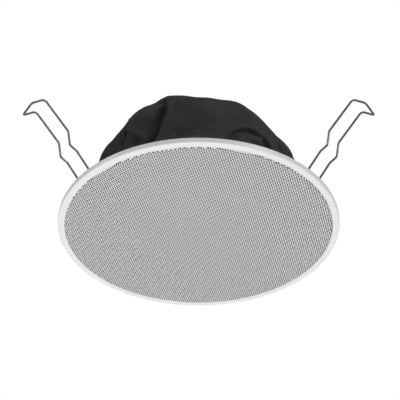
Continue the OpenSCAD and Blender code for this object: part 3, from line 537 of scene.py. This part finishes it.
# Each crease: points of its line as (azimuth, way along the cloth); then what the cloth does on the line's
# left and on its right, as (height, reach) in millimetres, below 0 for a hollow; then the width of the step
# between. Most points on the near side were picked by eye in the photo, and a scratch script turned those
# pixels into azimuth and way along; all else was set by hand
CREASES = [
    # the deep crease left of the middle, whose right side stands proud as a rolled lip up to the shoulder
    (
        [(-114.6, 26), (-111.4, 38.9), (-107.9, 50), (-107.4, 56), (-108.6, 64), (-110.8, 76)],
        (-4.2, 6.5), (2.4, 4.5), 1.2,
    ),
    ([(-107.4, 53), (-104.4, 61.7), (-103.4, 70), (-103.8, 77)], (1.2, 4), (-1.4, 4.5), 0.8),
    # the valley beside it
    ([(-118.5, 28), (-115.5, 43), (-112.8, 55), (-112.2, 66), (-113, 80)], (-6, 11), (-6, 5), 3.5),
    # the left ridge, the slit beside it and the fold under them
    ([(-135.4, 33), (-134.1, 40.9), (-132.4, 49.9), (-131.9, 61)], (2.6, 1.6), (3.0, 2.4), 0.6),
    ([(-135, 43.7), (-134.4, 47), (-136.6, 53)], (-5, 2), (-4.4, 1.8), 0.7),
    ([(-136.5, 37.7), (-140.6, 51.7)], (0.8, 5), (-1.2, 4), 1.4),
    # a light streak across the hollow right of the left ridge
    ([(-130, 48.8), (-125.9, 42.5), (-121.5, 36)], (1.2, 3), (1.2, 4), 1.5),
    # a wrinkle in the lit cloth
    ([(-108.1, 33.5), (-103.6, 37.1), (-98.6, 40.5), (-97.5, 43.9)], (0.3, 1.6), (-0.5, 1.8), 0.6),
    # the long soft diagonal under the middle plane, and the hollow that goes on from it to the shoulder
    (
        [(-99.1, 27.6), (-94.7, 32.3), (-87.6, 37.2), (-81, 42.1), (-73.5, 47.1), (-66, 52), (-60, 55)],
        (-3.6, 9), (1.2, 5), 1.5,
    ),
    ([(-76, 56), (-71, 64), (-66, 72)], (-2.4, 7.5), (-2.4, 9), 3),
    # the small bump at the rim
    ([(-96.3, 26.6), (-94.7, 29.3), (-93.1, 29.7), (-90.5, 26.6)], (0.3, 1.5), (-0.8, 1.8), 0.6),
    # the arch over the pouch
    (
        [(-74.5, 27), (-73.2, 30.4), (-70.9, 35.4), (-67.9, 39.2), (-64.2, 42), (-60.4, 43.6), (-57.1, 43),
         (-51.5, 40.2), (-48.6, 38.8), (-46.8, 35.1), (-45, 28)],
        (2, 2.8), (-3.2, 4.8), 1.2,
    ),
    # the edge between the middle plane and the right facet
    ([(-62, 71), (-56.5, 57.3), (-49.8, 50.2), (-41.8, 46.5)], (-0.8, 6), (1.4, 9), 2.0),
    # the slit at the right and the ridge beside it
    ([(-39.6, 33), (-38.6, 39), (-37.2, 44.9)], (0.6, 3), (-5.5, 2.4), 0.7),
    ([(-32.2, 35), (-33.7, 41.4), (-37, 48)], (-1.0, 1.6), (1.8, 2.6), 0.7),
    # round the far side
    ([(-8, 28), (-10, 48), (-7, 72)], (-2.2, 6), (1.4, 9), 2.0),
    ([(12, 28), (17, 60), (26, 100)], (1.6, 10), (-1.8, 8), 2.2),
    ([(36, 28), (33, 52), (38, 84)], (-2.6, 6), (1.8, 12), 1.8),
    ([(62, 27), (66, 56), (76, 104)], (1.4, 8), (-2.0, 7), 2.2),
    ([(113, 30), (109, 58), (104, 92)], (-2.4, 6), (1.6, 10), 1.8),
    ([(133, 28), (129, 60), (123, 104)], (1.8, 10), (-1.6, 7), 2.2),
    ([(152, 27), (156, 50), (163, 82)], (-2.4, 6), (1.5, 8), 1.8),
    ([(178, 28), (172, 56), (170, 96)], (1.4, 9), (-1.8, 7), 2.4),
]

# The stays: azimuths where the cloth's shoulder is drawn out to a corner, and how far past PLAN_R. Between
# them it is pulled straight. The 12 heights at azimuths below 0 weren't chosen by hand: a scratch script
# fitted them to the cover's outline in the photo
STAYS = [
    (-176, 5.9), (-160, -1.4), (-147, -3.0), (-132.5, 2.0), (-124, -0.4), (-114, 2.9), (-103, 1.0),
    (-84, -1.9), (-63, 0.3), (-47, -3.2), (-30, -6.8), (-12, 0.1),
    (22, 3.0), (48, -3.0), (72, 2.0), (95, 0.0), (118, 3.0), (142, -3.5), (162, 2.5),
]
# Soft bulges, placed like the creases: azimuth, way along, height, reach
BULGES = [
    (-57.5, 32.4, 5.4, 6.8), (-53.5, 38, 2.5, 3.5), (-50, 33, -3.5, 3), (-93, 64, 4.4, 13),
    (-127.9, 36, -2.6, 5), (-121, 62, 2, 9),
]


def crease_lift(crease, s, az, r):
    """What one crease adds. From the signed distance to its line, in millimetres on the cloth, each side
    falls off as a bell of its own height and reach, with a smooth step between them. Past the line's ends it
    fades out."""
    path, (low_h, low_w), (high_h, high_w), step = crease
    near, signed, beyond = np.full(s.shape, 1e9), np.ones(s.shape), np.zeros(s.shape)
    for i, (a, b) in enumerate(zip(path, path[1:])):
        px, py = np.radians(turn_between(az, a[0])) * r, s - a[1]
        dx, dy = np.radians(turn_between(b[0], a[0])) * r, b[1] - a[1]
        length = np.hypot(dx, dy)
        t = (px * dx + py * dy) / length**2
        held = np.clip(t, 0, 1)
        d = np.hypot(px - held * dx, py - held * dy)
        before = np.where((i == 0) & (t < 0), -t * length, 0)
        over = before + np.where((i == len(path) - 2) & (t > 1), (t - 1) * length, 0)
        closer = d < near
        near = np.where(closer, d, near)
        signed = np.where(closer, np.where(px * dy < py * dx, -d, d), signed)
        beyond = np.where(closer, over, beyond)
    ahead = soft(0.5 + signed / (2 * step))
    low, high = low_h * np.exp(-((signed / low_w) ** 2)), high_h * np.exp(-((signed / high_w) ** 2))
    return (low * (1 - ahead) + high * ahead) * np.exp(-((beyond / 5) ** 2))


def taut_lift(s, az):
    """The plan of the cloth's shoulder as a many-sided outline with its corners at the stays: between two
    stays the radius follows the straight line that joins them. The mean of nearby azimuths rounds the
    corners."""
    places, outs = np.array([a for a, _ in STAYS]), PLAN_R + np.array([h for _, h in STAYS])
    places, outs = np.append(places, places[0] + 360), np.append(outs, outs[0])
    total = 0
    for nudge in (-4, -2, 0, 2, 4):
        a = (az + nudge - places[0]) % 360 + places[0]
        k = np.clip(np.searchsorted(places, a, side="right") - 1, 0, len(places) - 2)
        gap, into = np.radians(places[k + 1] - places[k]), np.radians(a - places[k])
        across = outs[k] * np.sin(into) + outs[k + 1] * np.sin(gap - into)
        total = total + outs[k] * outs[k + 1] * np.sin(gap) / across
    return (total / 5 - PLAN_R) * soft((s - 30) / 50) * soft((142 - s) / 46)


def bulge_lift(s, az, r):
    """The sum of the bulges: each a bell, a little shorter along the cloth than round it."""
    total = 0
    for a, y, h, w in BULGES:
        off = np.radians(turn_between(az, a)) * r / w
        total = total + h * np.exp(-(off**2) - ((s - y) / (w * 0.8)) ** 2)
    return total


def gathers(s, az):
    """Small gathers above the cord: waves round the cover whose phase wanders, gone a little way up."""
    t = np.radians(az)
    wave = 0.8 * np.sin(15 * t) + 0.45 * np.sin(31 * t + 1.7 * np.sin(3 * t + 0.6))
    wave = wave + 0.25 * np.sin(53 * t + 2 * np.sin(5 * t))
    return wave * soft((s - COLLAR_H + 2) / 6) * soft((COLLAR_H + 22 - s) / 14)


def crumple(s, az):
    """Low soft waves in the slack cloth: a few slanting sines of different lengths."""
    t = np.radians(az)
    return soft((s - 34) / 14) * (
        0.2 * np.sin(7 * t + s / 9) * np.sin(s / 13 + 2 * t)
        + 0.12 * np.sin(12 * t - s / 6 + 1.1)
        + 0.06 * np.sin(23 * t + s / 4 + np.sin(4 * t))
    ) * soft((150 - s) / 40)


def cover_section(s):
    """Radius, height and outward angle at way s along the cloth: up the collar, over the bead, in to the
    side, round the shoulder and flat to the middle."""
    turn = np.clip((s - SHOULDER_Z) / SHOULDER_R, 0, math.pi / 2)
    flat = np.maximum(s - SHOULDER_Z - SHOULDER_R * math.pi / 2, 0)
    drawn = HEM_R - SIDE_R + (BEAD_OUT - HEM_R) * soft((s - COLLAR_H + 3.4) / 1.6)
    low = SIDE_R + drawn * np.exp(-((np.maximum(s - COLLAR_H - 0.8, 0) / 4.6) ** 1.5))
    r = np.where(s < SHOULDER_Z, low, TOP_R + SHOULDER_R * np.cos(turn) - flat)
    z = np.where(s < SHOULDER_Z, s, SHOULDER_Z + SHOULDER_R * np.sin(turn))
    return r, z, turn


def cover_lift(s, az, r):
    """All that raises the cloth from its plain section, from a little above the collar on."""
    wide = np.maximum(r, 20)
    folds = sum(crease_lift(c, s, az, wide) for c in CREASES)
    small = gathers(s, az) + crumple(s, az)
    return soft((s - COLLAR_H - 1) / 6) * (small + folds + bulge_lift(s, az, wide) + taut_lift(s, az))


def cover_skin(ways, az, inward):
    """Points of the cover's surface, inward millimetres inside its outer face."""
    s, a = np.meshgrid(ways, az, indexing="ij")
    r, z, turn = cover_section(s)
    lift = cover_lift(s, a, r) - inward
    t = np.radians(a)
    radius = np.maximum(r + lift * np.cos(turn), 0.01)
    return np.stack([radius * np.cos(t), radius * np.sin(t), z + lift * np.sin(turn)], -1)


def sew_cover():
    """The cover, closed: its outer face, its inner face CLOTH_T inside, a hem between them and both middles
    capped. The cloth's own coordinates run from its middle, by way and azimuth."""
    end = SHOULDER_Z + SHOULDER_R * math.pi / 2 + TOP_R
    # closer rows and columns on the near side, where the small folds lie
    low, side, crown = np.linspace(9.5, 24.5, 14), np.linspace(26, 88, 62), np.linspace(90, end - 0.6, 30)
    ways = np.concatenate([low, side, crown])
    az = np.concatenate([np.arange(-165, -15, 0.48), np.arange(-15, 195, 1.8)])
    cols = len(az)
    outer, inner = cover_skin(ways, az, 0), cover_skin(ways, az, CLOTH_T)
    rows, m = len(ways), len(ways) * cols
    middle = np.array([[0, 0, outer[-1, :, 2].mean()], [0, 0, inner[-1, :, 2].mean()]])
    quads = grid_quads(rows, cols)
    k = np.arange(cols)
    j = (k + 1) % cols
    last = (rows - 1) * cols
    hem = np.stack([k, m + k, m + j, j], -1)
    caps = np.concatenate([
        np.stack([last + k, last + j, np.full(cols, 2 * m)], -1),
        np.stack([m + last + j, m + last + k, np.full(cols, 2 * m + 1)], -1),
    ])
    loops = np.concatenate([quads.ravel(), (quads[:, ::-1] + m).ravel(), hem.ravel(), caps.ravel()])
    sizes = np.concatenate([np.full(len(quads) * 2 + cols, 4), np.full(2 * cols, 3)])
    points = np.concatenate([outer.reshape(-1, 3), inner.reshape(-1, 3), middle])
    reach = np.concatenate([np.repeat(end - ways, cols)] * 2 + [[0, 0]])
    t = np.concatenate([np.tile(np.radians(az), rows)] * 2 + [[0, 0]])
    cut = np.column_stack([reach * np.cos(t), reach * np.sin(t)])
    made = mesh_piece("dust_cover_cloth", points, loops, sizes, "cover_cloth", uv=cut)
    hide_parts("dust_cover")


sew_cover()


# Spring wires: round wire along a bent path
def unit(v):
    return v / np.linalg.norm(v)


def bend(a, b, c, radius, turn=6):
    """Points on the arc that rounds corner b between a and c."""
    u, w = unit(b - a), unit(c - b)
    phi = math.acos(float(np.clip(u @ w, -1, 1)))
    start = b - u * radius * math.tan(phi / 2)
    m = unit(w - (w @ u) * u)
    t = np.linspace(0, phi, max(2, math.ceil(math.degrees(phi) / turn) + 1))[:, None]
    return start + radius * (np.sin(t) * u + (1 - np.cos(t)) * m)


def swept(path, radius, first):
    """A round wire: rings of corners carried along the path, each ring square to it and not twisted from the
    last, with domed ends."""
    heading = np.gradient(path, axis=0)
    heading /= np.linalg.norm(heading, axis=1)[:, None]
    normals = np.zeros_like(path)
    n = np.asarray(first, float)
    for i, t in enumerate(heading):
        n = unit(n - (n @ t) * t)
        normals[i] = n
    sideways = np.cross(heading, normals)
    a = TAU * np.arange(WIRE_SIDES) / WIRE_SIDES
    a = a[None, :, None]
    ring = radius * (np.cos(a) * normals[:, None] + np.sin(a) * sideways[:, None])
    body = path[:, None] + ring
    ends = []
    for at, ways in ((0, -1), (-1, 1)):
        for q in (0.45, 0.8):
            ends.append(path[at] + ring[at] * math.sqrt(1 - q * q) + ways * heading[at] * radius * q * 0.5)
    rings = np.concatenate([[ends[1]], [ends[0]], body, [ends[2]], [ends[3]]])
    tips = np.array([path[0] - heading[0] * radius * 0.5, path[-1] + heading[-1] * radius * 0.5])
    rows = len(rings)
    quads = grid_quads(rows, WIRE_SIDES)
    k = np.arange(WIRE_SIDES)
    j = (k + 1) % WIRE_SIDES
    last = (rows - 1) * WIRE_SIDES
    n_points = rows * WIRE_SIDES
    caps = np.concatenate([
        np.stack([j, k, np.full(WIRE_SIDES, n_points)], -1),
        np.stack([last + k, last + j, np.full(WIRE_SIDES, n_points + 1)], -1),
    ])
    points = np.concatenate([rings.reshape(-1, 3), tips])
    loops = np.concatenate([quads.ravel(), caps.ravel()])
    sizes = np.concatenate([np.full(len(quads), 4), np.full(len(caps), 3)])
    return points, loops, sizes


def on_clamp(flat, y):
    """A point of the clamp's own plane, y to one side of its middle, put at the pivot."""
    flat = np.atleast_2d(flat)
    return np.column_stack([PIVOT_R + flat[:, 0], np.full(len(flat), y), PIVOT_Z + flat[:, 1]])


def arm_path():
    """The swinging wire: an outer turn round the coil, foot, step, riser, reach and hook, then back."""
    # length and slope of each straight, from the coil to the hook
    legs = [(31.2, 50.9), (7.1, 29.4), (13.5, 79.8), (32.5, 46.7), (13.4, -38.3)]
    a = math.radians(legs[0][1])
    corners = [COIL_R * np.array([math.sin(a), -math.cos(a)])]
    for length, angle in legs:
        t = math.radians(angle)
        corners.append(corners[-1] + length * np.array([math.cos(t), math.sin(t)]))
    t = np.radians(np.linspace(legs[0][1] - 390, legs[0][1] - 90, 40))
    side = [on_clamp(COIL_R * np.column_stack([np.cos(t), np.sin(t)]), LEG_Y)]
    at = [on_clamp(c, LEG_Y)[0] for c in corners]
    side += [bend(at[i - 1], at[i], at[i + 1], KNEE_R) for i in range(1, 5)]
    side.append(bend(at[4], at[5], at[5] * OTHER_SIDE, HOOK_R, 10))
    half = np.concatenate(side)
    return np.concatenate([half, half[::-1] * OTHER_SIDE])


def coil_path():
    """The wound coil: two halves of a turn and a half each, joined by the tail that bears on the bracket."""
    turns, pitch = 1.5, 2 * WIRE_R + 0.1
    first = LEG_Y - pitch - 0.1
    t = np.linspace(0, 1, 50)
    a = math.pi - TAU * turns * (1 - t)
    y = first - pitch * turns * t
    coil = np.column_stack([PIVOT_R + COIL_R * np.cos(a), y, PIVOT_Z - COIL_R * np.sin(a)])
    end_y = first - pitch * turns
    corners = [on_clamp(np.array([-COIL_R, TAIL_Z]), y)[0] for y in (end_y, -end_y)]
    half = np.concatenate([coil, bend(coil[-1], corners[0], corners[1], TAIL_R, 10)])
    return np.concatenate([half, half[::-1] * OTHER_SIDE])


def wind_springs():
    for n, azimuth in CLAMP_AT.items():
        for kind, path, body in (("arm", arm_path(), f"clamp_{n}"), ("coil", coil_path(), "housing")):
            points, loops, sizes = swept(path, WIRE_R, (0, 1, 0))
            points = turned_about_z(points, azimuth)
            made = mesh_piece(f"wire_{kind}_{n}", points, loops, sizes, "spring_wire", body)
            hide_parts(f"spring_{kind}_{n}")


wind_springs()


# Floor, world and lamps
def seen_directly(tree):
    """1 for rays from the camera, and for mirrored and refracted ones, 0 for the rest."""
    path = tree.nodes.new("ShaderNodeLightPath")
    last = path.outputs["Is Camera Ray"]
    for name in ("Is Glossy Ray", "Is Transmission Ray"):
        most = tree.nodes.new("ShaderNodeMath")
        most.operation = "MAXIMUM"
        tree.links.new(last, most.inputs[0])
        tree.links.new(path.outputs[name], most.inputs[1])
        last = most.outputs[0]
    return last


def light_world(strength):
    """A white background for rays that are seen directly; for the rest, a dim white sky of that strength."""
    world = bpy.data.worlds.new("studio")
    bpy.context.scene.world = world
    world.use_nodes = True
    tree = world.node_tree
    back = tree.nodes["Background"]
    back.inputs["Color"].default_value = (1, 1, 1, 1)
    level = tree.nodes.new("ShaderNodeMix")
    level.inputs[2].default_value, level.inputs[3].default_value = strength, 1.0
    tree.links.new(seen_directly(tree), level.inputs[0])
    tree.links.new(level.outputs[0], back.inputs["Strength"])


def lay_floor(z):
    """A plain pale floor far below, mostly glowing white where it is seen directly."""
    f = Finish("floor_white", Base_Color=(0.8, 0.8, 0.8, 1), Roughness=0.9)
    glow = f.node("ShaderNodeEmission", sockets={"Color": (1, 1, 1, 1), "Strength": 1.0})
    share = Socket(f, seen_directly(f.tree)) * 0.8
    mixed = f.node("ShaderNodeMixShader", sockets={0: share, 1: Socket(f, f.shader.outputs[0]), 2: glow})
    f.tree.links.new(mixed.out, f.tree.nodes["Material Output"].inputs["Surface"])
    mesh = bpy.data.meshes.new("floor")
    mesh.from_pydata([(-30, -30, z), (30, -30, z), (30, 30, z), (-30, 30, z)], [], [(0, 1, 2, 3)])
    mesh.materials.append(f.material)
    floor = bpy.data.objects.new("floor", mesh)
    bpy.context.scene.collection.objects.link(floor)


def hang_lamp(name, place, aim, size, power):
    """A round soft lamp, turned towards aim."""
    light = bpy.data.lights.new(name, "AREA")
    light.shape, light.size, light.energy = "DISK", size, power
    lamp = bpy.data.objects.new(name, light)
    bpy.context.scene.collection.objects.link(lamp)
    lamp.location = place
    lamp.rotation_euler = (Vector(aim) - Vector(place)).to_track_quat("-Z", "Y").to_euler()
    lamp.visible_camera = False


light_world(0.12)
lay_floor(-2.2)
# On the net and the rim; on the cover from the right, with the folds' shadows; and a weak fill from the left
hang_lamp("from_below", (-0.15, -0.25, -1.75), (0, 0, 0), 1.4, 29)
hang_lamp("from_right", (1.15, -1.2, 0.8), (0, 0, 0.03), 0.7, 14.5)
hang_lamp("from_left", (-1.6, -0.5, 0.9), (0, 0, 0.03), 0.6, 9)

bpy.context.scene.view_settings.view_transform = "Standard"
